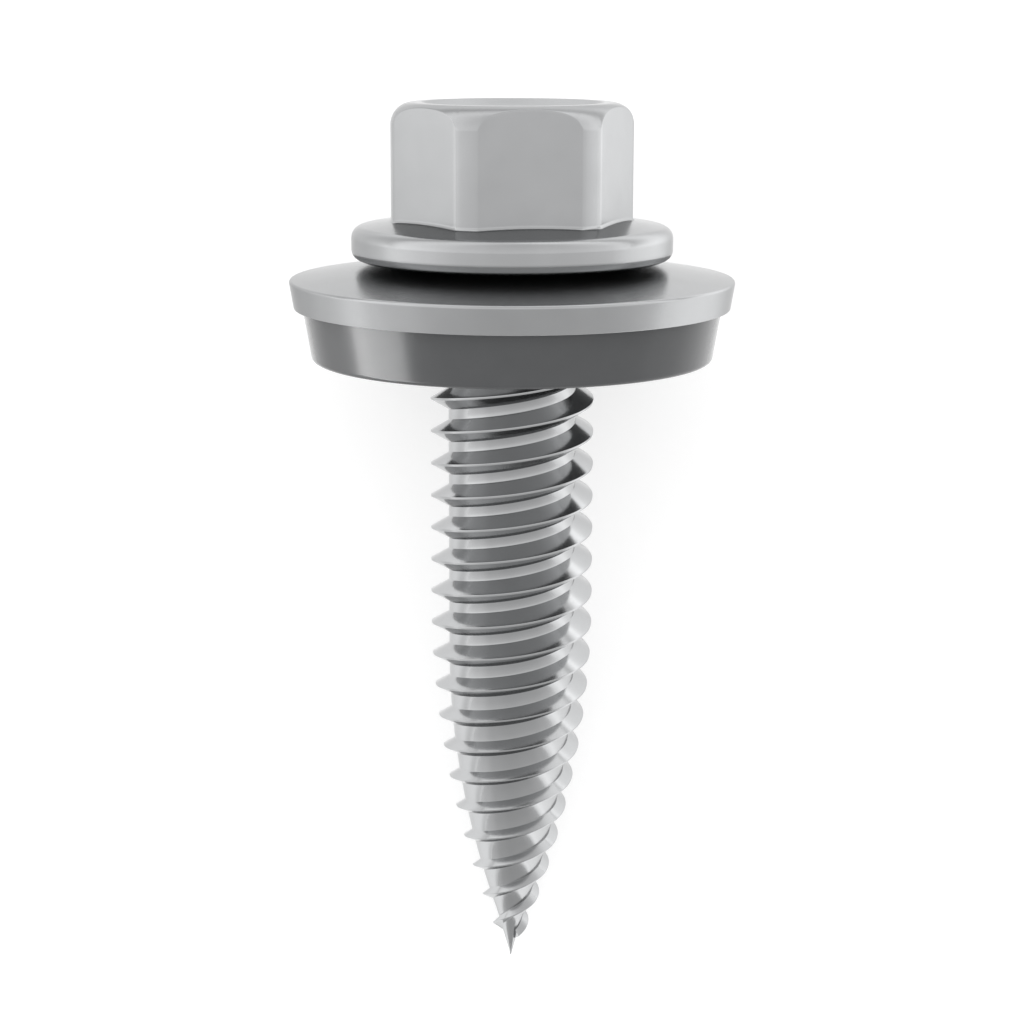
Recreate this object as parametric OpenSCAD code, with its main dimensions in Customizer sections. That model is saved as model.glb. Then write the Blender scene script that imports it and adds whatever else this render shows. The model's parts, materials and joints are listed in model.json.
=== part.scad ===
// Hex washer-head thread-forming screw with a captive dished sealing washer.
// The screw's own axis is local Z with the head up and z = 0 on the underside
// of the flange. The finished part lies on its side, resting on the washer's
// rim and on the thread near the point.

/* [Head] */
// Width across the flats of the hexagon
hex_af = 7.88; // [7.5:0.02:8.4]
// Radius of the rounded upright corners of the hexagon
hex_corner_r = 0.9; // [0.4:0.05:1.2]
// Angle from the thread's datum to the middle of a flat
hex_turn = 9; // [0:1:29]
// Height of the head's top above the underside of the flange
head_h = 5.53; // [4.6:0.05:7]
// Radius of the crown, where the sides round over into the top
crown_r = 0.8; // [0.4:0.05:1.2]
// Diameter of the dished recess at the head's top
recess_d = 6.5; // [4:0.1:6.8]
// Depth of the dished recess in its middle
recess_depth = 0.9; // [0.3:0.05:1.4]

/* [Flange] */
// Diameter of the flange forged under the hexagon
flange_d = 11.51; // [10.4:0.05:13]
// Height of the flange at its rim, before its edge is rounded
flange_rim_h = 1.13; // [0.95:0.01:1.4]
// Slope of the flange's top, which falls towards the rim
flange_slope = 9; // [3:0.5:12]
// Radius of the rim's upper edge
flange_top_r = 0.42; // [0.1:0.02:0.44]
// Radius of the rim's lower edge
flange_bottom_r = 0.45; // [0.1:0.02:0.5]

/* [Shank] */
// Length from the underside of the flange to the point
shank_len = 26.66; // [22:0.1:60]
// Diameter of the plain neck that the washer sits on
neck_d = 5.4; // [5:0.05:5.8]
// Radius of the fillet between the neck and the flange
neck_fillet_r = 0.3; // [0.1:0.05:0.5]
// Diameter over the crests of the thread
thread_d = 6; // [5.85:0.01:6.3]
// Diameter of the core between the threads
core_d = 4.63; // [4.4:0.01:5]
// Distance along the axis from one crest to the next
thread_pitch = 1.2; // [1:0.01:1.6]
// Number of threads wound side by side
thread_starts = 2; // [1, 2, 3]
// Angle of each flank from a plane square to the axis
flank_angle = 30; // [22:1:30]
// Width of the flat left on a crest
crest_flat = 0.05; // [0.02:0.01:0.12]
// Depth below the flange of one crest on the +X side
crest_datum = 4.99; // [4.5:0.01:6]
// Length over which the thread rises out of the neck
thread_runout = 0.8; // [0.3:0.05:2]

/* [Point] */
// Length of the core's taper
core_taper_len = 12.06; // [8:0.1:16]
// How far before the point the core's curve would close
core_short = 0.4; // [0:0.05:1]
// Length of the straight cone at the point, which cuts that curve off
cone_len = 1.9; // [1:0.1:4]
// Length of the crests' taper, to the point
crest_taper_len = 13.87; // [8:0.1:18]
// How far past the point the crests' curve would close
crest_overrun = 0.46; // [0.2:0.05:1]
// Fullness of both tapers, 1 for a straight cone
taper_power = 1.96; // [1.3:0.02:2.2]
// Distance from the point at which the ridges have died away
ridge_end = 0.76; // [0.3:0.02:1.2]
// Length over which the ridges die away
ridge_fade = 0.35; // [0.2:0.05:2]

/* [Washer plate] */
// Diameter of the plate
plate_d = 16; // [14:0.1:19]
// Thickness of the plate
plate_t = 1; // [0.7:0.05:1.5]
// Angle by which the plate's outer part is dished
dish_angle = 9.5; // [4:0.5:12]
// Diameter of the flat middle that the flange seats on
seat_d = 7.7; // [7.2:0.1:9]
// Diameter of the plate's bore, which passes over the thread
plate_bore_d = 6.6; // [6.4:0.05:7]
// Gap between the plate and the underside of the flange
plate_gap = 0.02; // [0.01:0.01:0.1]

/* [Sealing ring] */
// Diameter of the rubber ring at its bond to the plate
seal_d = 15.06; // [12:0.1:15.4]
// Thickness of the rubber ring
seal_t = 2; // [1.2:0.1:3]
// Radial gap between the rubber ring and the neck
seal_gap = 0.05; // [0.01:0.01:0.1]
// Gap along the axis between the rubber ring and the thread's start
seal_end_gap = 0.1; // [0.05:0.05:0.5]

/* [Hidden] */
$fn = 96;

steel = "#c4c6c8";
rubber = "#4b4c4d";

// Hexagon: three crossed slabs leave six corners, each filled by a round
flat_w = hex_af / sqrt(3) - 2 * hex_corner_r * tan(30);
corner_centre = (hex_af / 2 - hex_corner_r) / cos(30);

// The crown is turned just outside the corners and clears them lower down
crown_margin = 0.02;
crown_out_r = corner_centre + hex_corner_r + crown_margin;
crown_mid_r = crown_out_r - crown_r;
crown_mid_z = head_h - crown_r;

// A ball of this radius leaves the dished recess
recess_ball_r = (pow(recess_d / 2, 2) + pow(recess_depth, 2)) / (2 * recess_depth);

// Flange: the upper round touches the rim's side and the sloping top
flange_r = flange_d / 2;
flange_mid_r = flange_r - flange_top_r;
flange_touch_r = flange_mid_r + flange_top_r * sin(flange_slope);
flange_touch_z = flange_rim_h + (flange_r - flange_touch_r) * tan(flange_slope);
flange_mid_z = flange_touch_z - flange_top_r * cos(flange_slope);
// The hexagon stands on a flat that reaches just past its corners, and starts
// inside the flange
foot_r = crown_out_r + crown_margin;
foot_z = flange_touch_z + (flange_touch_r - foot_r) * tan(flange_slope);
hex_root_z = flange_rim_h / 2;

// Washer: each face is flat to its bend and dished from there to the rim
plate_top_z = -plate_gap;
plate_low_z = plate_top_z - plate_t;
seal_low_z = plate_low_z - seal_t;
// Radius of the bend in a face that lies the given depth under the plate's top
function bend_r(depth) = seat_d / 2 - depth * tan(dish_angle / 2);
// Height of a dished face, at radius r
function dish_z(depth, r) = plate_top_z - depth - (r - bend_r(depth)) * tan(dish_angle);
// Rim of a layer: square to the dish, from its upper corner (r, depth)
function rim_low(r, depth, t) =
    [r - t * sin(dish_angle), dish_z(depth, r) - t * cos(dish_angle)];
plate_rim = rim_low(plate_d / 2, 0, plate_t);
seal_rim = rim_low(seal_d / 2, plate_t, seal_t);
seal_bore_r = neck_d / 2 + seal_gap;

// Thread: the ridges wind up the shank right-handed, as rows of points that
// each hold one edge of the profile: crest top, crest bottom, and root twice
neck_len = -seal_low_z + seal_end_gap;
lead = thread_pitch * thread_starts;
edges = 4;
turn_rows = edges * thread_starts;
columns = 36;
column_rise = lead / columns;
// Least height between a row's end and the neck
row_margin = 0.03;
// The thread starts on a ring just inside the neck's edge
start_r = neck_d / 2 - 0.03;
rows_above = ceil((crest_datum - neck_len) / thread_pitch) + 1;
first_z = rows_above * thread_pitch - crest_datum + crest_flat / 2;
ridge_end_z = ridge_end - shank_len;
row_max = edges * ceil((first_z + lead - ridge_end_z) / thread_pitch);

// Shape of a taper of full radius r at depth d, which starts at depth d0 and
// closes at depth d1
function taper(r, d, d0, d1) = r * (1 - pow(max(0, d - d0) / (d1 - d0), taper_power));
function core_curve(z) =
    taper(core_d / 2, -z, shank_len - core_taper_len, shank_len - core_short);
cone_z = cone_len - shank_len;
function core_r(z) =
    z > cone_z ? core_curve(z) : core_curve(cone_z) * (shank_len + z) / cone_len;
function crest_r(z) =
    taper(thread_d / 2, -z, shank_len - crest_taper_len, shank_len + crest_overrun);
// Full ridges along the shank, none at the ridges' end
function ridge(z) = min(1, max(0, (z - ridge_end_z) / ridge_fade));
function edge_r(edge, z) =
    edge < 2 ? core_r(z) + max(0, crest_r(z) - core_r(z)) * ridge(z) : core_r(z);
// The thread grows out of the neck over its run-out
function runout(r, z) = start_r + (r - start_r) * min(1, (-neck_len - z) / thread_runout);

// The flanks keep their angle, so a ridge is as much narrower as it is lower
function flank_run(z) = max(0, crest_r(z) - core_r(z)) * tan(flank_angle);
function crest_z(row, column) =
    first_z - floor(row / edges) * thread_pitch + column * column_rise;
function row_z(row, column) = let (z = crest_z(row, column), next_z = z - thread_pitch)
    [z, z - crest_flat, z - crest_flat - flank_run(z), next_z + flank_run(next_z)][row % edges];
function on_circle(r, column, z) =
    [r * cos(360 * column / columns), r * sin(360 * column / columns), z];
function thread_point(row, column, z) =
    on_circle(runout(edge_r(row % edges, z), z), column, z);

// First and last row of each column between the neck and the ridges' end
row_first = [for (c = [0:columns])
    len([for (row = [0:row_max]) if (row_z(row, c) > -neck_len - row_margin) row])];
row_last = [for (c = [0:columns])
    len([for (row = [0:row_max]) if (row_z(row, c) > ridge_end_z) row]) - 1];

// Points: for each column the neck's edge and then its rows, and the point last
thread_points = concat(
    [for (c = [0:columns - 1]) each concat(
        [on_circle(start_r, c, -neck_len)],
        [for (row = [row_first[c]:row_last[c]]) thread_point(row, c, row_z(row, c))])],
    [[0, 0, -shank_len]]);
tip_index = len(thread_points) - 1;
column_start = [for (c = 0, n = 0; c <= columns; n = n + row_last[c] - row_first[c] + 2, c = c + 1) n];

// Indices: the last column is the first one again, one lead further up
function neck_index(c) = column_start[c % columns];
function row_index(row, c) = c < columns
    ? column_start[c] + 1 + row - row_first[c]
    : column_start[0] + 1 + row - turn_rows - row_first[0];

// Faces between column c and the next: the rows that end at the neck, the rows
// that both columns hold, and the rows that end at the point
thread_faces = concat(
    [[for (c = [columns - 1:-1:0]) neck_index(c)]],
    [for (c = [0:columns - 1]) each concat(
        [[neck_index(c), neck_index(c + 1), row_index(row_first[c], c)]],
        [for (row = [row_first[c]:1:row_first[c + 1] - 1])
            [row_index(row, c), neck_index(c + 1), row_index(row + 1, c)]],
        [[row_index(row_first[c + 1], c), neck_index(c + 1), row_index(row_first[c + 1], c + 1)]],
        [for (row = [row_first[c + 1]:1:row_last[c] - 1]) each [
            [row_index(row, c), row_index(row, c + 1), row_index(row + 1, c + 1)],
            [row_index(row, c), row_index(row + 1, c + 1), row_index(row + 1, c)]]],
        [for (row = [row_last[c]:1:row_last[c + 1] - 1])
            [row_index(row_last[c], c), row_index(row, c + 1), row_index(row + 1, c + 1)]],
        [[row_index(row_last[c], c), row_index(row_last[c + 1], c + 1), tip_index]])]);

// Rest: the floor touches the washer's edge and the thread, whichever of the
// washer's edges that makes the steeper line
rest_slope = max([for (rim = [plate_rim, seal_rim])
    min([for (p = thread_points) (rim[0] - p[1]) / (rim[1] - p[2])])]);
rest_angle = atan(rest_slope);
rest_lift = max([for (rim = [plate_rim, seal_rim])
    rim[0] * cos(rest_angle) - rim[1] * sin(rest_angle)]);
head_end = crown_mid_r * sin(rest_angle) + crown_mid_z * cos(rest_angle) + crown_r;
point_end = shank_len * cos(rest_angle);

// Lays the upright screw down: head towards +Y, resting on z = 0, and centred
module laid_down() {
    translate([0, (point_end - head_end) / 2, rest_lift])
        rotate([rest_angle - 90, 0, 0])
            children();
}

module hexagon() {
    for (turn = [0:60:120])
        rotate(turn) square([flat_w, hex_af], center = true);
    for (turn = [0:60:300])
        rotate(turn) translate([corner_centre, 0]) circle(r = hex_corner_r);
}

// Round envelope of the head, which leaves the arcs on top of the flats
module crown() {
    rotate_extrude() {
        square([crown_mid_r, head_h]);
        square([crown_out_r, crown_mid_z]);
        translate([crown_mid_r, crown_mid_z]) circle(r = crown_r);
    }
}

module hex_head() {
    difference() {
        intersection() {
            translate([0, 0, hex_root_z])
                rotate(hex_turn)
                    linear_extrude(head_h - hex_root_z) hexagon();
            crown();
        }
        translate([0, 0, head_h - recess_depth + recess_ball_r]) sphere(r = recess_ball_r);
    }
}

module flange() {
    rotate_extrude() {
        polygon([
            [0, 0], [flange_r - flange_bottom_r, 0], [flange_r, flange_bottom_r],
            [flange_r, flange_mid_z], [flange_touch_r, flange_touch_z],
            [foot_r, foot_z], [0, foot_z]]);
        translate([flange_r - flange_bottom_r, flange_bottom_r]) circle(r = flange_bottom_r);
        translate([flange_mid_r, flange_mid_z]) circle(r = flange_top_r);
    }
}

module neck() {
    translate([0, 0, -neck_len]) cylinder(d = neck_d, h = neck_len + hex_root_z);
    rotate_extrude()
        difference() {
            translate([0, -neck_fillet_r])
                square([neck_d / 2 + neck_fillet_r, neck_fillet_r + hex_root_z]);
            translate([neck_d / 2 + neck_fillet_r, -neck_fillet_r]) circle(r = neck_fillet_r);
        }
}

module threaded_shank() {
    polyhedron(points = thread_points, faces = thread_faces, convexity = 10);
}

module screw() {
    color(steel) laid_down() {
        hex_head();
        flange();
        neck();
        threaded_shank();
    }
}

// Section of a washer layer, from its upper face at a depth under the plate's
// top, with bore radius r0 and outer radius r1
module layer(depth, t, r0, r1) {
    low = depth + t;
    rotate_extrude()
        polygon([
            [r0, plate_top_z - depth], [bend_r(depth), plate_top_z - depth],
            [r1, dish_z(depth, r1)], rim_low(r1, depth, t),
            [bend_r(low), plate_top_z - low], [r0, plate_top_z - low]]);
}

module washer_plate() {
    color(steel) laid_down() layer(0, plate_t, plate_bore_d / 2, plate_d / 2);
}

module sealing_ring() {
    color(rubber) laid_down() layer(plate_t, seal_t, seal_bore_r, seal_d / 2);
}

screw();
washer_plate();
sealing_ring();
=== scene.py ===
# Hex washer-head thread-forming screw with its captive sealing washer, lying at rest.
import json
import math

import bmesh
import bpy
from mathutils import Matrix, Vector


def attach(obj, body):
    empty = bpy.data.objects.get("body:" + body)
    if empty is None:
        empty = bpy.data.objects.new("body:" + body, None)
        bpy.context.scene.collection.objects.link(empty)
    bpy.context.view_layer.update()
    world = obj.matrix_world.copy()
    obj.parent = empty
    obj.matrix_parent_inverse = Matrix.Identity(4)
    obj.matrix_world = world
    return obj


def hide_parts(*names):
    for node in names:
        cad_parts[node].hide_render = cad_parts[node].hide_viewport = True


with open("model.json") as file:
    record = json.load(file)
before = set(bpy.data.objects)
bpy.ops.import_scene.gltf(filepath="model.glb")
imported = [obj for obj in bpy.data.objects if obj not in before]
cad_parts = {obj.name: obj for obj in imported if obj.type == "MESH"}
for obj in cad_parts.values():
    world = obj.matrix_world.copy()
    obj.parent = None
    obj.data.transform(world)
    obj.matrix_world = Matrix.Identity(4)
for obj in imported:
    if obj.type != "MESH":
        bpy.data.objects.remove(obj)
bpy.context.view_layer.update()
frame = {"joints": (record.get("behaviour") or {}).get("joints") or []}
scene = bpy.context.scene

# Lie of the screw
# The screw lies on its washer's rim and on its thread. Each piece is drawn upright in
# millimetres, with the flange's underside at zero, and then laid down along the axis that
# the washer turns on, which the joint gives. Named angles are in degrees.
MILLIMETRE = 0.001
JOINT_DEPTH = 1
washer_joint = frame["joints"][0]
screw_axis = Vector(washer_joint["axis"])
flange_seat = Vector(washer_joint["pos_m"]) + JOINT_DEPTH * MILLIMETRE * screw_axis
lying_turn = Vector((0, 0, 1)).rotation_difference(screw_axis).to_matrix().to_4x4()
laid_down = Matrix.Translation(flange_seat) @ lying_turn @ Matrix.Scale(MILLIMETRE, 4)

# Camera
# It stands in front of the upright screw and a little above its head, so here it looks
# down on the lying one. Its place is in the screw's own frame.
CAMERA_PLACE = (0.014, -82.777, 8.9)
CAMERA_DROP = 12.41
CAMERA_ROLL = 0.13
LENS = 81.145
camera = bpy.data.objects.new("camera", bpy.data.cameras.new("camera"))
scene.collection.objects.link(camera)
camera.data.lens = LENS
camera.data.clip_start = 0.002
camera.matrix_world = (
    Matrix.Translation(laid_down @ Vector(CAMERA_PLACE))
    @ lying_turn
    @ Matrix.Rotation(math.radians(90 - CAMERA_DROP), 4, "X")
    @ Matrix.Rotation(math.radians(CAMERA_ROLL), 4, "Z")
)
scene.camera = camera

# Screw
# One piece of steel wire, cold headed into the hexagon, its dished top and the flange, and
# then rolled between dies into the twin-start thread and the gimlet point.
HEX_FLAT = 3.94
BLANK_R = 4.33
HEX_TURN = 9
HEAD_H = 5.53
CROWN_R = 0.8
RECESS_R = 3.25
RECESS_DEPTH = 0.9
RECESS_LIP_R = 0.25
FLAT_EDGE_R = 0.05
EDGE_SPREAD = 0.2
HEX_FOOT_R = 0.12
FLANGE_R = 5.755
FLANGE_RIM_H = 1.13
FLANGE_SLOPE = 9
FLANGE_TOP_R = 0.42
FLANGE_BOTTOM_R = 0.36
NECK_R = 2.7
NECK_FILLET_R = 0.3
NECK_LEN = 3.12
SHANK_LEN = 26.66
THREAD_R = 2.97
CORE_R = 2.315
THREAD_PITCH = 1.195
THREAD_STARTS = 2
FLANK_ANGLE = 30
CREST_FLAT = 0.08
CREST_ROUND = 0.008
ROOT_ROUND = 0.03
CREST_DATUM = 5.075
THREAD_RUNOUT = 0.8
CORE_TAPER_LEN = 12.06
CORE_SHORT = 0.4
CONE_LEN = 1.9
CREST_TAPER_LEN = 13.87
CREST_OVERRUN = 0.46
TAPER_POWER = 1.96
RIDGE_END = 0.9
TIP_R = 0.02
# Mesh: columns round the axis, points on each kind of rounding, how close a point that holds
# a face flat is to its rounding, the distance at which two points become one, and the angle
# from which an edge stays sharp
COLUMNS = 240
RECESS_STEPS = 12
CROWN_STEPS = 8
EDGE_STEPS = 4
ROUND_STEPS = 6
THREAD_STEPS = 2
FACE_HOLD = 0.02
WELD_DISTANCE = 0.0001
SHARP_ANGLE = 26


def arc(r, z, radius, start, end, steps):
    """Points on a circle about (r, z), from one angle to another, in degrees from outwards."""
    angles = [math.radians(start + (end - start) * i / steps) for i in range(steps + 1)]
    return [(r + radius * math.cos(a), z + radius * math.sin(a)) for a in angles]


def rounded(corners, steps, hold=0.0):
    """Outline through corners (r, z, radius), each of them rounded by its own radius.

    A point held this far before and after each rounding keeps the faces between them flat.
    """
    outline = [corners[0][:2]]
    for before, corner, after in zip(corners, corners[1:], corners[2:]):
        point = Vector(corner[:2])
        radius = corner[2]
        if radius == 0:
            outline.append(tuple(point))
            continue
        back = (Vector(before[:2]) - point).normalized()
        ahead = (Vector(after[:2]) - point).normalized()
        half = back.angle(ahead) / 2
        reach = radius / math.tan(half)
        centre = point + (back + ahead).normalized() * radius / math.sin(half)
        start = (point + back * reach - centre).normalized()
        end = (point + ahead * reach - centre).normalized()
        if hold:
            outline.append(tuple(point + back * (reach + hold)))
        for i in range(steps + 1):
            outline.append(tuple(centre + start.slerp(end, i / steps) * radius))
        if hold:
            outline.append(tuple(point + ahead * (reach + hold)))
    outline.append(corners[-1][:2])
    return outline


def turned(name, section_at, closed, own_angle=float):
    """Mesh of sections (r, z) set round the axis, with a closed section for a ring.

    A column may stand at an angle of its own, but an open section ends on the even one.
    """
    even_angles = [360 * c / COLUMNS for c in range(COLUMNS)]
    sections = [section_at(own_angle(angle)) for angle in even_angles]
    rows = len(sections[0])
    points = []
    for even_angle, section in zip(even_angles, sections):
        for i, (r, z) in enumerate(section):
            at_end = not closed and i == rows - 1
            angle = math.radians(even_angle if at_end else own_angle(even_angle))
            points.append((r * math.cos(angle), r * math.sin(angle), z))
    faces = []
    for c in range(COLUMNS):
        here, there = c * rows, (c + 1) % COLUMNS * rows
        for i in range(rows if closed else rows - 1):
            j = (i + 1) % rows
            faces.append((here + i, here + j, there + j, there + i))
    mesh = bpy.data.meshes.new(name)
    mesh.from_pydata(points, [], faces)
    shape = bmesh.new()
    shape.from_mesh(mesh)
    bmesh.ops.remove_doubles(shape, verts=shape.verts, dist=WELD_DISTANCE)
    shape.to_mesh(mesh)
    shape.free()
    piece = bpy.data.objects.new(name, mesh)
    scene.collection.objects.link(piece)
    return piece


crown_mid_r = BLANK_R - CROWN_R
crown_mid_z = HEAD_H - CROWN_R
recess_ball_r = (RECESS_R ** 2 + RECESS_DEPTH ** 2) / (2 * RECESS_DEPTH)
recess_ball_z = HEAD_H - RECESS_DEPTH + recess_ball_r
lip_z = HEAD_H - RECESS_LIP_R
lip_r = math.sqrt((recess_ball_r + RECESS_LIP_R) ** 2 - (recess_ball_z - lip_z) ** 2)
lip_lean = math.degrees(math.atan2(lip_r, recess_ball_z - lip_z))
# A flat ends where it meets the turned side, this far round from its middle
flat_end = math.degrees(math.acos(HEX_FLAT / BLANK_R))
column_step = 360 / COLUMNS


def off_flat(angle):
    """Angle from the middle of the nearest flat."""
    return (angle - HEX_TURN) % 60 - 30


def beside_edges(angle):
    """Angle of a column, with the two beside each upright edge brought close to it."""
    gap = abs(off_flat(angle)) - flat_end
    if abs(gap) > column_step:
        return angle
    move = math.copysign(EDGE_SPREAD, gap) - gap
    return angle + (move if off_flat(angle) > 0 else -move)


def hex_radius(angle):
    """Reach of the hexagon from the axis, in the direction of an angle."""
    return min(BLANK_R, HEX_FLAT / math.cos(math.radians(off_flat(angle))))


flange_fall = math.tan(math.radians(FLANGE_SLOPE))


def head_section(angle):
    """Section of the head from its middle down to the neck's end."""
    side_r = hex_radius(angle)
    foot_z = FLANGE_RIM_H + (FLANGE_R - side_r) * flange_fall
    foot_out_r = side_r + HEX_FOOT_R
    edge_r = side_r - FLAT_EDGE_R
    edge_out = edge_r - crown_mid_r
    edge_up = math.sqrt(max(0, (CROWN_R - FLAT_EDGE_R) ** 2 - edge_out ** 2))
    edge_z = crown_mid_z + edge_up
    crown_end = math.degrees(math.atan2(edge_up, edge_out))
    return (
        arc(0, recess_ball_z, recess_ball_r, -90, lip_lean - 90, RECESS_STEPS)
        + arc(lip_r, lip_z, RECESS_LIP_R, 90 + lip_lean, 90, EDGE_STEPS)
        + arc(crown_mid_r, crown_mid_z, CROWN_R, 90, crown_end, CROWN_STEPS)
        + arc(edge_r, edge_z, FLAT_EDGE_R, crown_end, 0, EDGE_STEPS)[1:]
        + rounded([
            (side_r, edge_z - FACE_HOLD, 0),
            (side_r, foot_z, HEX_FOOT_R),
            (foot_out_r, FLANGE_RIM_H + (FLANGE_R - foot_out_r) * flange_fall, 0),
            (FLANGE_R, FLANGE_RIM_H, FLANGE_TOP_R),
            (FLANGE_R, 0, FLANGE_BOTTOM_R),
            (NECK_R, 0, NECK_FILLET_R),
            (NECK_R, -NECK_LEN, 0),
        ], ROUND_STEPS, FACE_HOLD)
    )


screw = turned("screw_body", head_section, closed=False, own_angle=beside_edges)

# One pitch of the thread's section: depth along the axis from the middle of a crest, height
# as a share of the full ridge, and whether the point is on the ridge or between two
ridge_h = THREAD_R - CORE_R
flank_run = ridge_h * math.tan(math.radians(FLANK_ANGLE))
crest_end = CREST_FLAT / 2
pitch_outline = rounded([
    (-THREAD_PITCH / 2, 0, 0),
    (-crest_end - flank_run, 0, ROOT_ROUND),
    (-crest_end, ridge_h, CREST_ROUND),
    (crest_end, ridge_h, CREST_ROUND),
    (crest_end + flank_run, 0, ROOT_ROUND),
    (THREAD_PITCH / 2, 0, 0),
], THREAD_STEPS)[1:]
profile_mesh = bpy.data.meshes.new("pitch_profile")
profile_mesh.from_pydata(
    [(depth, h / ridge_h, depth < THREAD_PITCH / 2) for depth, h in pitch_outline], [], [])
pitch_profile = bpy.data.objects.new("pitch_profile", profile_mesh)
scene.collection.objects.link(pitch_profile)
pitches = math.ceil((SHANK_LEN - NECK_LEN) / THREAD_PITCH) + THREAD_STARTS + 2

rolling = bpy.data.node_groups.new("rolled_thread", "GeometryNodeTree")
rolling.interface.new_socket("Head", in_out="INPUT", socket_type="NodeSocketGeometry")
rolling.interface.new_socket("Screw", in_out="OUTPUT", socket_type="NodeSocketGeometry")
profile_input = rolling.interface.new_socket(
    "Pitch Profile", in_out="INPUT", socket_type="NodeSocketObject")
finish_input = rolling.interface.new_socket(
    "Finish", in_out="INPUT", socket_type="NodeSocketMaterial")
rolled_input = rolling.interface.new_socket(
    "Rolled Finish", in_out="INPUT", socket_type="NodeSocketMaterial")
thread_sizes = {
    "Pitch": THREAD_PITCH,
    "Starts": THREAD_STARTS,
    "Pitches": pitches,
    "Columns": COLUMNS,
    "Crest Datum": CREST_DATUM,
    "Crest Radius": THREAD_R,
    "Core Radius": CORE_R,
    "Neck Radius": NECK_R,
    "Neck Length": NECK_LEN,
    "Shank Length": SHANK_LEN,
    "Core Taper": CORE_TAPER_LEN,
    "Core Short": CORE_SHORT,
    "Cone Length": CONE_LEN,
    "Crest Taper": CREST_TAPER_LEN,
    "Crest Overrun": CREST_OVERRUN,
    "Taper Power": TAPER_POWER,
    "Ridge End": RIDGE_END,
    "Runout": THREAD_RUNOUT,
    "Tip Radius": TIP_R,
}
size_inputs = {
    name: rolling.interface.new_socket(name, in_out="INPUT", socket_type="NodeSocketFloat")
    for name in thread_sizes
}
given = rolling.nodes.new("NodeGroupInput").outputs


def rolling_node(kind, links=None, **settings):
    """Node of the rolled thread, with its settings and with values or links on its inputs."""
    node = rolling.nodes.new(kind)
    for key, value in settings.items():
        setattr(node, key, value)
    for key, value in (links or {}).items():
        if isinstance(value, bpy.types.NodeSocket):
            rolling.links.new(value, node.inputs[key])
        else:
            node.inputs[key].default_value = value
    return node


def calc(operation, *values):
    """Result of one sum on fields or numbers."""
    links = dict(enumerate(values))
    return rolling_node("ShaderNodeMath", links, operation=operation).outputs[0]


def taper(full_radius, depth, start, end):
    """Radius at a depth of a taper that leaves the full radius at start and closes at end."""
    gone = calc("DIVIDE", calc("MAXIMUM", calc("SUBTRACT", depth, start), 0),
                calc("SUBTRACT", end, start))
    left = calc("SUBTRACT", 1, calc("POWER", gone, given["Taper Power"]))
    return calc("MULTIPLY", full_radius, left)


def core_curve(depth):
    """Radius of the core's rounded taper."""
    return taper(given["Core Radius"], depth,
                 calc("SUBTRACT", given["Shank Length"], given["Core Taper"]),
                 calc("SUBTRACT", given["Shank Length"], given["Core Short"]))


def core_at(depth):
    """Radius of the core: its rounded taper, and the straight cone of the point."""
    to_point = calc("SUBTRACT", given["Shank Length"], depth)
    cone_top = calc("SUBTRACT", given["Shank Length"], given["Cone Length"])
    cone = calc("DIVIDE", calc("MULTIPLY", core_curve(cone_top), to_point), given["Cone Length"])
    return rolling_node("GeometryNodeSwitch", {
        "Switch": calc("LESS_THAN", to_point, given["Cone Length"]),
        "False": core_curve(depth),
        "True": cone,
    }, input_type="FLOAT").outputs[0]


def ridge_at(depth):
    """Height of a ridge that stands at a depth."""
    crest = taper(given["Crest Radius"], depth,
                  calc("SUBTRACT", given["Shank Length"], given["Crest Taper"]),
                  calc("ADD", given["Shank Length"], given["Crest Overrun"]))
    return calc("MAXIMUM", calc("SUBTRACT", crest, core_at(depth)), 0)


# A sheet of rows by columns: each column holds the section's points all down the shank
profile = rolling_node("GeometryNodeObjectInfo", {"Object": given["Pitch Profile"]})
profile_points = rolling_node(
    "GeometryNodeAttributeDomainSize", {"Geometry": profile.outputs["Geometry"]}
).outputs["Point Count"]
rows = calc("MULTIPLY", given["Pitches"], profile_points)
sheet = rolling_node("GeometryNodeMeshGrid", {
    "Vertices X": calc("ADD", given["Columns"], 1),
    "Vertices Y": rows,
})
index = rolling_node("GeometryNodeInputIndex").outputs[0]
column = calc("FLOOR", calc("DIVIDE", calc("ADD", index, 0.5), rows))
row = calc("SUBTRACT", index, calc("MULTIPLY", column, rows))
turn = calc("DIVIDE", column, given["Columns"])
pitch_number = calc("FLOOR", calc("DIVIDE", calc("ADD", row, 0.5), profile_points))
profile_sample = rolling_node("GeometryNodeSampleIndex", {
    "Geometry": profile.outputs["Geometry"],
    "Value": rolling_node("GeometryNodeInputPosition").outputs[0],
    "Index": calc("SUBTRACT", row, calc("MULTIPLY", pitch_number, profile_points)),
}, data_type="FLOAT_VECTOR")
profile_xyz = rolling_node("ShaderNodeSeparateXYZ", {0: profile_sample.outputs["Value"]}).outputs

# Depth below the flange: each pitch is one further down, and a turn climbs by the lead. The
# flanks keep their angle, so a ridge is as much narrower as it is lower
lead = calc("MULTIPLY", given["Pitch"], given["Starts"])
pitches_above = calc("CEIL", calc("DIVIDE", calc("SUBTRACT", given["Crest Datum"],
                                                 given["Neck Length"]), given["Pitch"]))
first_depth = calc("SUBTRACT", given["Crest Datum"],
                   calc("MULTIPLY", calc("ADD", pitches_above, 1), given["Pitch"]))
crest_depth = calc("SUBTRACT",
                   calc("ADD", first_depth, calc("MULTIPLY", pitch_number, given["Pitch"])),
                   calc("MULTIPLY", turn, lead))
ridge_size = calc("MINIMUM", 1, calc("DIVIDE", ridge_at(crest_depth),
                                     calc("SUBTRACT", given["Crest Radius"],
                                          given["Core Radius"])))
narrower = calc("MULTIPLY", profile_xyz["Z"], calc("SUBTRACT", 1, ridge_size))
free_depth = calc("ADD", crest_depth,
                  calc("MULTIPLY", profile_xyz["X"], calc("SUBTRACT", 1, narrower)))
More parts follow.
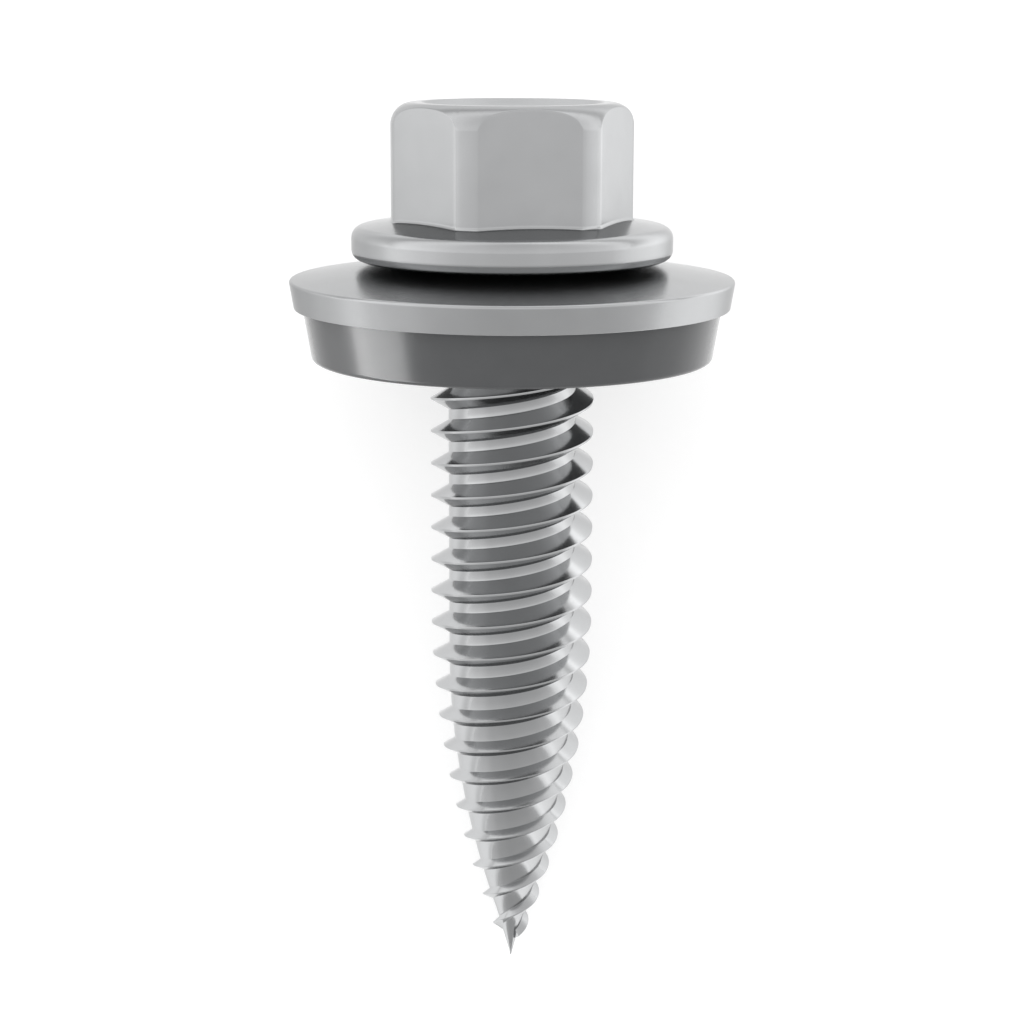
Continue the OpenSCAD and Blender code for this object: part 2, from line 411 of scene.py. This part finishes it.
depth = calc("MINIMUM", calc("MAXIMUM", free_depth, given["Neck Length"]),
             given["Shank Length"])

# Radius: the core, and on it the ridge, which grows out of the neck and stops short of the
# point in an open end. The point itself is blunt, and only the last row of points closes it
AT_POINT = 0.001
rolled = calc("LESS_THAN", crest_depth,
              calc("SUBTRACT", given["Shank Length"], given["Ridge End"]))
rolled_r = calc("ADD", core_at(depth), calc("MULTIPLY", ridge_at(depth),
                                            calc("MULTIPLY", profile_xyz["Y"], rolled)))
risen = calc("MINIMUM", 1, calc("DIVIDE", calc("SUBTRACT", depth, given["Neck Length"]),
                                given["Runout"]))
shaped_r = calc("ADD", given["Neck Radius"],
                calc("MULTIPLY", calc("SUBTRACT", rolled_r, given["Neck Radius"]), risen))
short_of_tip = calc("LESS_THAN", depth, calc("SUBTRACT", given["Shank Length"], AT_POINT))
radius = calc("MAXIMUM", shaped_r, calc("MULTIPLY", given["Tip Radius"], short_of_tip))
angle = calc("MULTIPLY", turn, 2 * math.pi)
place = rolling_node("ShaderNodeCombineXYZ", {
    "X": calc("MULTIPLY", radius, calc("COSINE", angle)),
    "Y": calc("MULTIPLY", radius, calc("SINE", angle)),
    "Z": calc("MULTIPLY", depth, -1),
}).outputs[0]
wrapped = rolling_node("GeometryNodeSetPosition", {
    "Geometry": sheet.outputs["Mesh"], "Position": place})
outward = rolling_node("GeometryNodeFlipFaces", {"Mesh": wrapped.outputs[0]})
joined = rolling_node("GeometryNodeJoinGeometry")
rolling.links.new(outward.outputs[0], joined.inputs[0])
rolling.links.new(given["Head"], joined.inputs[0])
welded = rolling_node("GeometryNodeMergeByDistance", {
    "Geometry": joined.outputs[0], "Distance": WELD_DISTANCE})
real = rolling_node("GeometryNodeRealizeInstances", {"Geometry": welded.outputs[0]})

# The dies leave the thread smoother than the head
coated = rolling_node("GeometryNodeSetMaterial", {
    "Geometry": real.outputs[0], "Material": given["Finish"]})
height = rolling_node("ShaderNodeSeparateXYZ", {
    0: rolling_node("GeometryNodeInputPosition").outputs[0]}).outputs["Z"]
burnished = rolling_node("GeometryNodeSetMaterial", {
    "Geometry": coated.outputs[0],
    "Selection": calc("LESS_THAN", height, calc("MULTIPLY", given["Neck Length"], -1)),
    "Material": given["Rolled Finish"],
})
rolling_node("NodeGroupOutput", {"Screw": burnished.outputs[0]})


NOISE_RANGE = (0.3, 0.7)
BUMP_HEIGHT = 0.000001


def grained(name, tone, shades, scales, roughness, relief):
    """Material of nearly one tone, with faint clouds in its colour and a grain in its gloss.

    The shades are the clouds' darkest and lightest shares of the tone, the scales those of
    clouds and grain in waves a millimetre, and the roughness goes from low to high.
    """
    material = bpy.data.materials.new(name)
    material.use_nodes = True
    nodes, links = material.node_tree.nodes, material.node_tree.links
    shader = nodes["Principled BSDF"]
    place = nodes.new("ShaderNodeTexCoord")
    to_millimetres = nodes.new("ShaderNodeMapping")
    to_millimetres.inputs["Scale"].default_value = [1 / MILLIMETRE] * 3
    links.new(place.outputs["Object"], to_millimetres.inputs["Vector"])
    clouds = nodes.new("ShaderNodeTexNoise")
    clouds.inputs["Detail"].default_value = 3
    grain = nodes.new("ShaderNodeTexNoise")
    grain.inputs["Detail"].default_value = 2
    for texture, scale in zip((clouds, grain), scales):
        texture.inputs["Scale"].default_value = scale
        links.new(to_millimetres.outputs["Vector"], texture.inputs["Vector"])
    colours = nodes.new("ShaderNodeMix")
    colours.data_type = "RGBA"
    colours.inputs["A"].default_value = (*[v * shades[0] for v in tone], 1)
    colours.inputs["B"].default_value = (*[v * shades[1] for v in tone], 1)
    links.new(clouds.outputs["Fac"], colours.inputs["Factor"])
    links.new(colours.outputs["Result"], shader.inputs["Base Color"])
    dullness = nodes.new("ShaderNodeMapRange")
    dullness.inputs["From Min"].default_value = NOISE_RANGE[0]
    dullness.inputs["From Max"].default_value = NOISE_RANGE[1]
    dullness.inputs["To Min"].default_value = roughness[0]
    dullness.inputs["To Max"].default_value = roughness[1]
    links.new(grain.outputs["Fac"], dullness.inputs["Value"])
    links.new(dullness.outputs["Result"], shader.inputs["Roughness"])
    bumps = nodes.new("ShaderNodeBump")
    bumps.inputs["Strength"].default_value = relief
    bumps.inputs["Distance"].default_value = BUMP_HEIGHT
    links.new(grain.outputs["Fac"], bumps.inputs["Height"])
    links.new(bumps.outputs["Normal"], shader.inputs["Normal"])
    return material


ZINC_TONE = (0.42, 0.425, 0.43)
HEADED_TINT, HEADED_ROUGHNESS = 0.5, (0.21, 0.26)
ROLLED_TINT, ROLLED_ROUGHNESS = 0.7, (0.14, 0.19)


def zinc_finish(name, edge_tint, roughness):
    """Bright zinc plate: grey metal, with a share of its shine left at a grazing angle."""
    material = grained(name, ZINC_TONE, shades=(0.93, 1.05), scales=(0.7, 14),
                       roughness=roughness, relief=0.1)
    shader = material.node_tree.nodes["Principled BSDF"]
    shader.inputs["Metallic"].default_value = 1
    shader.inputs["Specular Tint"].default_value = (edge_tint, edge_tint, edge_tint, 1)
    return material


headed_zinc = zinc_finish("headed_zinc", HEADED_TINT, HEADED_ROUGHNESS)
rolled_zinc = zinc_finish("rolled_zinc", ROLLED_TINT, ROLLED_ROUGHNESS)
roller = screw.modifiers.new("rolled_thread", "NODES")
roller.node_group = rolling
roller[profile_input.identifier] = pitch_profile
roller[finish_input.identifier] = headed_zinc
roller[rolled_input.identifier] = rolled_zinc
for name, size in thread_sizes.items():
    roller[size_inputs[name].identifier] = float(size)
bpy.context.view_layer.update()
made = screw.evaluated_get(bpy.context.evaluated_depsgraph_get())
screw_mesh = bpy.data.meshes.new_from_object(made)
screw.modifiers.remove(roller)
screw.data = screw_mesh
bpy.data.objects.remove(pitch_profile)


def finished(piece, body, node):
    """Lays a piece down, smooths it between its sharp edges and sets it on its body."""
    piece.data.transform(laid_down)
    piece.data.shade_smooth()
    piece.data.set_sharp_from_angle(angle=math.radians(SHARP_ANGLE))
    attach(piece, body)
    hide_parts(node)


finished(screw, "screw", "screw")

# Washer plate
# A disc blanked from sheet steel, with a flat seat for the flange and a dished outer part,
# so that it springs flat and presses the rubber when the screw is tight.
PLATE_R = 8
PLATE_T = 1
PLATE_EDGE_R = 0.1
DISH_ANGLE = 9.5
SEAT_R = 3.85
BEND_R = 1.5
PLATE_BORE_R = 3.3
PLATE_GAP = 0.02
BORE_EDGE_R = 0.05
BOND_EDGE_R = 0.02
plate_top = -PLATE_GAP
dish = math.radians(DISH_ANGLE)


def bend_at(depth):
    """Radius of the bend in a face that lies a depth under the plate's top."""
    return SEAT_R - depth * math.tan(dish / 2)


def dish_z(depth, r):
    """Height of a dished face at a radius."""
    return plate_top - depth - (r - bend_at(depth)) * math.tan(dish)


def layer_section(depth, thickness, bore_r, out_r, top_edge_r, low_edge_r):
    """Section of one dished layer of the washer, closed, from its bore's upper edge."""
    low = depth + thickness
    rim_r = out_r - thickness * math.sin(dish)
    rim_z = dish_z(depth, out_r) - thickness * math.cos(dish)
    bore_mid = plate_top - depth - thickness / 2
    return rounded([
        (bore_r, bore_mid, 0),
        (bore_r, plate_top - depth, BORE_EDGE_R),
        (bend_at(depth), plate_top - depth, BEND_R),
        (out_r, dish_z(depth, out_r), top_edge_r),
        (rim_r, rim_z, low_edge_r),
        (bend_at(low), plate_top - low, BEND_R),
        (bore_r, plate_top - low, BORE_EDGE_R),
        (bore_r, bore_mid, 0),
    ], ROUND_STEPS, FACE_HOLD)[:-1]


plate_outline = layer_section(0, PLATE_T, PLATE_BORE_R, PLATE_R, PLATE_EDGE_R, BOND_EDGE_R)
washer_plate = turned("plate", lambda angle: plate_outline, closed=True)
plate_zinc = zinc_finish("plate_zinc", HEADED_TINT, HEADED_ROUGHNESS)
washer_plate.data.materials.append(plate_zinc)
finished(washer_plate, "washer", "washer_plate")

# Sealing ring
# Grey-black rubber, moulded and bonded to the underside of the plate. Its own slope follows
# the plate's dish, and its bore closes round the screw's neck.
SEAL_R = 7.53
SEAL_T = 2
SEAL_GAP = 0.05
SEAL_EDGE_R = 0.18
RUBBER_TONE = (0.105, 0.107, 0.11)
RUBBER_IOR = 1.25
seal_outline = layer_section(
    PLATE_T, SEAL_T, NECK_R + SEAL_GAP, SEAL_R, BOND_EDGE_R, SEAL_EDGE_R)
seal_ring = turned("seal", lambda angle: seal_outline, closed=True)


def rubber_finish():
    """Dark rubber with a faint sheen and a moulded skin."""
    material = grained("seal_rubber", RUBBER_TONE, shades=(0.93, 1.07), scales=(0.9, 11),
                       roughness=(0.17, 0.23), relief=0.1)
    material.node_tree.nodes["Principled BSDF"].inputs["IOR"].default_value = RUBBER_IOR
    return material


seal_ring.data.materials.append(rubber_finish())
finished(seal_ring, "washer", "sealing_ring")

# Floor
# A pale sheet in metres, lifted to white for the camera, that keeps the shadow. Reflections
# find it glow more on the right, where a window would be, and beside the head: levels at a
# place across the floor and along it, in millimetres.
FLOOR_SIZE = 2
FLOOR_TONE = 0.62
CAMERA_LIFT = 0.55
GLOW_ACROSS = [(-120, 0.85), (-80, 0.85), (-38, 0.5), (-20, 0.5), (-14, 0.72), (-10, 0.97),
               (0, 1.1), (10, 1.08), (14, 1.25), (17, 1.35), (20, 1.28), (38, 1), (120, 0.83)]
GLOW_ALONG = [(-100, 1), (9, 1), (15, 1.35), (22, 1.2), (30, 0.9), (57, 0.35), (100, 0.2)]


RAMP_TOP = 2


def level_ramp(tree, value, stops, unit):
    """Level that follows stops (place, level), with the place given in units of the value.

    A ramp's colours stop at 1, so it holds the levels as shares of the highest one allowed.
    """
    share = tree.nodes.new("ShaderNodeMapRange")
    share.inputs["From Min"].default_value = stops[0][0] * unit
    share.inputs["From Max"].default_value = stops[-1][0] * unit
    tree.links.new(value, share.inputs["Value"])
    ramp = tree.nodes.new("ShaderNodeValToRGB")
    ramp.color_ramp.interpolation = "EASE"
    elements = ramp.color_ramp.elements
    while len(elements) < len(stops):
        elements.new(0.5)
    for element, (place, level) in zip(elements, stops):
        element.position = (place - stops[0][0]) / (stops[-1][0] - stops[0][0])
        element.color = (*[level / RAMP_TOP] * 3, 1)
    tree.links.new(share.outputs["Result"], ramp.inputs[0])
    full = tree.nodes.new("ShaderNodeMath")
    full.operation = "MULTIPLY"
    full.inputs[1].default_value = RAMP_TOP
    tree.links.new(ramp.outputs[0], full.inputs[0])
    return full.outputs[0]


floor_mesh = bpy.data.meshes.new("floor")
half = FLOOR_SIZE / 2
floor_mesh.from_pydata(
    [(-half, -half, 0), (half, -half, 0), (half, half, 0), (-half, half, 0)], [], [(0, 1, 2, 3)])
floor = bpy.data.objects.new("floor", floor_mesh)
scene.collection.objects.link(floor)
paper = bpy.data.materials.new("floor_white")
paper.use_nodes = True
nodes, links = paper.node_tree.nodes, paper.node_tree.links
paper_shader = nodes["Principled BSDF"]
paper_shader.inputs["Base Color"].default_value = (FLOOR_TONE, FLOOR_TONE, FLOOR_TONE, 1)
paper_shader.inputs["Roughness"].default_value = 1
paper_shader.inputs["Specular IOR Level"].default_value = 0
paper_shader.inputs["Emission Color"].default_value = (1, 1, 1, 1)
rays = nodes.new("ShaderNodeLightPath")
place = nodes.new("ShaderNodeTexCoord")
floor_place = nodes.new("ShaderNodeSeparateXYZ")
links.new(place.outputs["Object"], floor_place.inputs[0])
glow_level = nodes.new("ShaderNodeMath")
glow_level.operation = "MULTIPLY"
for socket, axis, stops in zip(glow_level.inputs, "XY", (GLOW_ACROSS, GLOW_ALONG)):
    level = level_ramp(paper.node_tree, floor_place.outputs[axis], stops, MILLIMETRE)
    links.new(level, socket)
for_camera = nodes.new("ShaderNodeMath")
for_camera.operation = "MULTIPLY"
for_camera.inputs[1].default_value = CAMERA_LIFT
links.new(rays.outputs["Is Camera Ray"], for_camera.inputs[0])
for_gloss = nodes.new("ShaderNodeMath")
for_gloss.operation = "MULTIPLY_ADD"
links.new(rays.outputs["Is Glossy Ray"], for_gloss.inputs[0])
links.new(glow_level.outputs[0], for_gloss.inputs[1])
links.new(for_camera.outputs[0], for_gloss.inputs[2])
links.new(for_gloss.outputs[0], paper_shader.inputs["Emission Strength"])
floor_mesh.materials.append(paper)

# Light
# A soft white room round the screw's own axis: broad pale walls at both sides, a quieter
# stretch in front and below it, and a ceiling: levels at an angle round it, from the front
# to the right, and at an angle up from the flange's plane.
ROUND_LIGHT = [(-180, 1.07), (-130, 1.13), (-84, 1.4), (-62, 1.22), (-37, 0.97), (0, 0.88),
               (45, 0.9), (68, 1.02), (90, 1.38), (120, 1.6), (180, 1.27)]
UP_LIGHT = [(-90, 0.65), (-50, 0.7), (-26, 0.79), (-8, 0.93), (-4, 1.06), (0, 1.28), (10, 1.22),
            (32, 1.12), (65, 1.03), (90, 1.05)]
scene.view_settings.view_transform = "Standard"
room = bpy.data.worlds.new("room")
scene.world = room
room.use_nodes = True
nodes, links = room.node_tree.nodes, room.node_tree.links
background = nodes["Background"]
background.inputs["Color"].default_value = (1, 1, 1, 1)
direction = nodes.new("ShaderNodeTexCoord")
upright = nodes.new("ShaderNodeMapping")
upright.inputs["Rotation"].default_value = lying_turn.inverted().to_euler()
links.new(direction.outputs["Generated"], upright.inputs["Vector"])
axes = nodes.new("ShaderNodeSeparateXYZ")
links.new(upright.outputs["Vector"], axes.inputs[0])


def room_calc(operation, first, second=None):
    """Result of one sum on the room's directions."""
    node = nodes.new("ShaderNodeMath")
    node.operation = operation
    for socket, value in zip(node.inputs, (first, second)):
        if isinstance(value, bpy.types.NodeSocket):
            links.new(value, socket)
        elif value is not None:
            socket.default_value = value
    return node.outputs[0]


round_angle = room_calc("ARCTAN2", axes.outputs["X"],
                        room_calc("MULTIPLY", axes.outputs["Y"], -1))
up_angle = room_calc("ARCSINE", axes.outputs["Z"])
degree = math.radians(1)
around = level_ramp(room.node_tree, round_angle, ROUND_LIGHT, degree)
upward = level_ramp(room.node_tree, up_angle, UP_LIGHT, degree)
links.new(room_calc("MULTIPLY", around, upward), background.inputs["Strength"])

# The rubber alone catches one upright panel on its left
PANEL_TURN = -84
PANEL_SIZE = (0.047, 0.04)
PANEL_AWAY = 0.05
PANEL_LOW = 0.028
PANEL_GLOW = 16
lamp = bpy.data.lights.new("rubber_panel", "AREA")
lamp.shape = "RECTANGLE"
lamp.size, lamp.size_y = PANEL_SIZE
lamp.energy = PANEL_GLOW * math.pi * PANEL_SIZE[0] * PANEL_SIZE[1]
panel = bpy.data.objects.new("rubber_panel", lamp)
toward = lying_turn @ Matrix.Rotation(math.radians(PANEL_TURN), 4, "Z")
panel.matrix_world = (
    Matrix.Translation(flange_seat) @ toward
    @ Matrix.Translation((0, -PANEL_AWAY, -PANEL_LOW)) @ Matrix.Rotation(math.radians(90), 4, "X"))
panel.visible_diffuse = False
scene.collection.objects.link(panel)
only_rubber = bpy.data.collections.new("only_rubber")
only_rubber.objects.link(seal_ring)
panel.light_linking.receiver_collection = only_rubber
panel.light_linking.blocker_collection = only_rubber
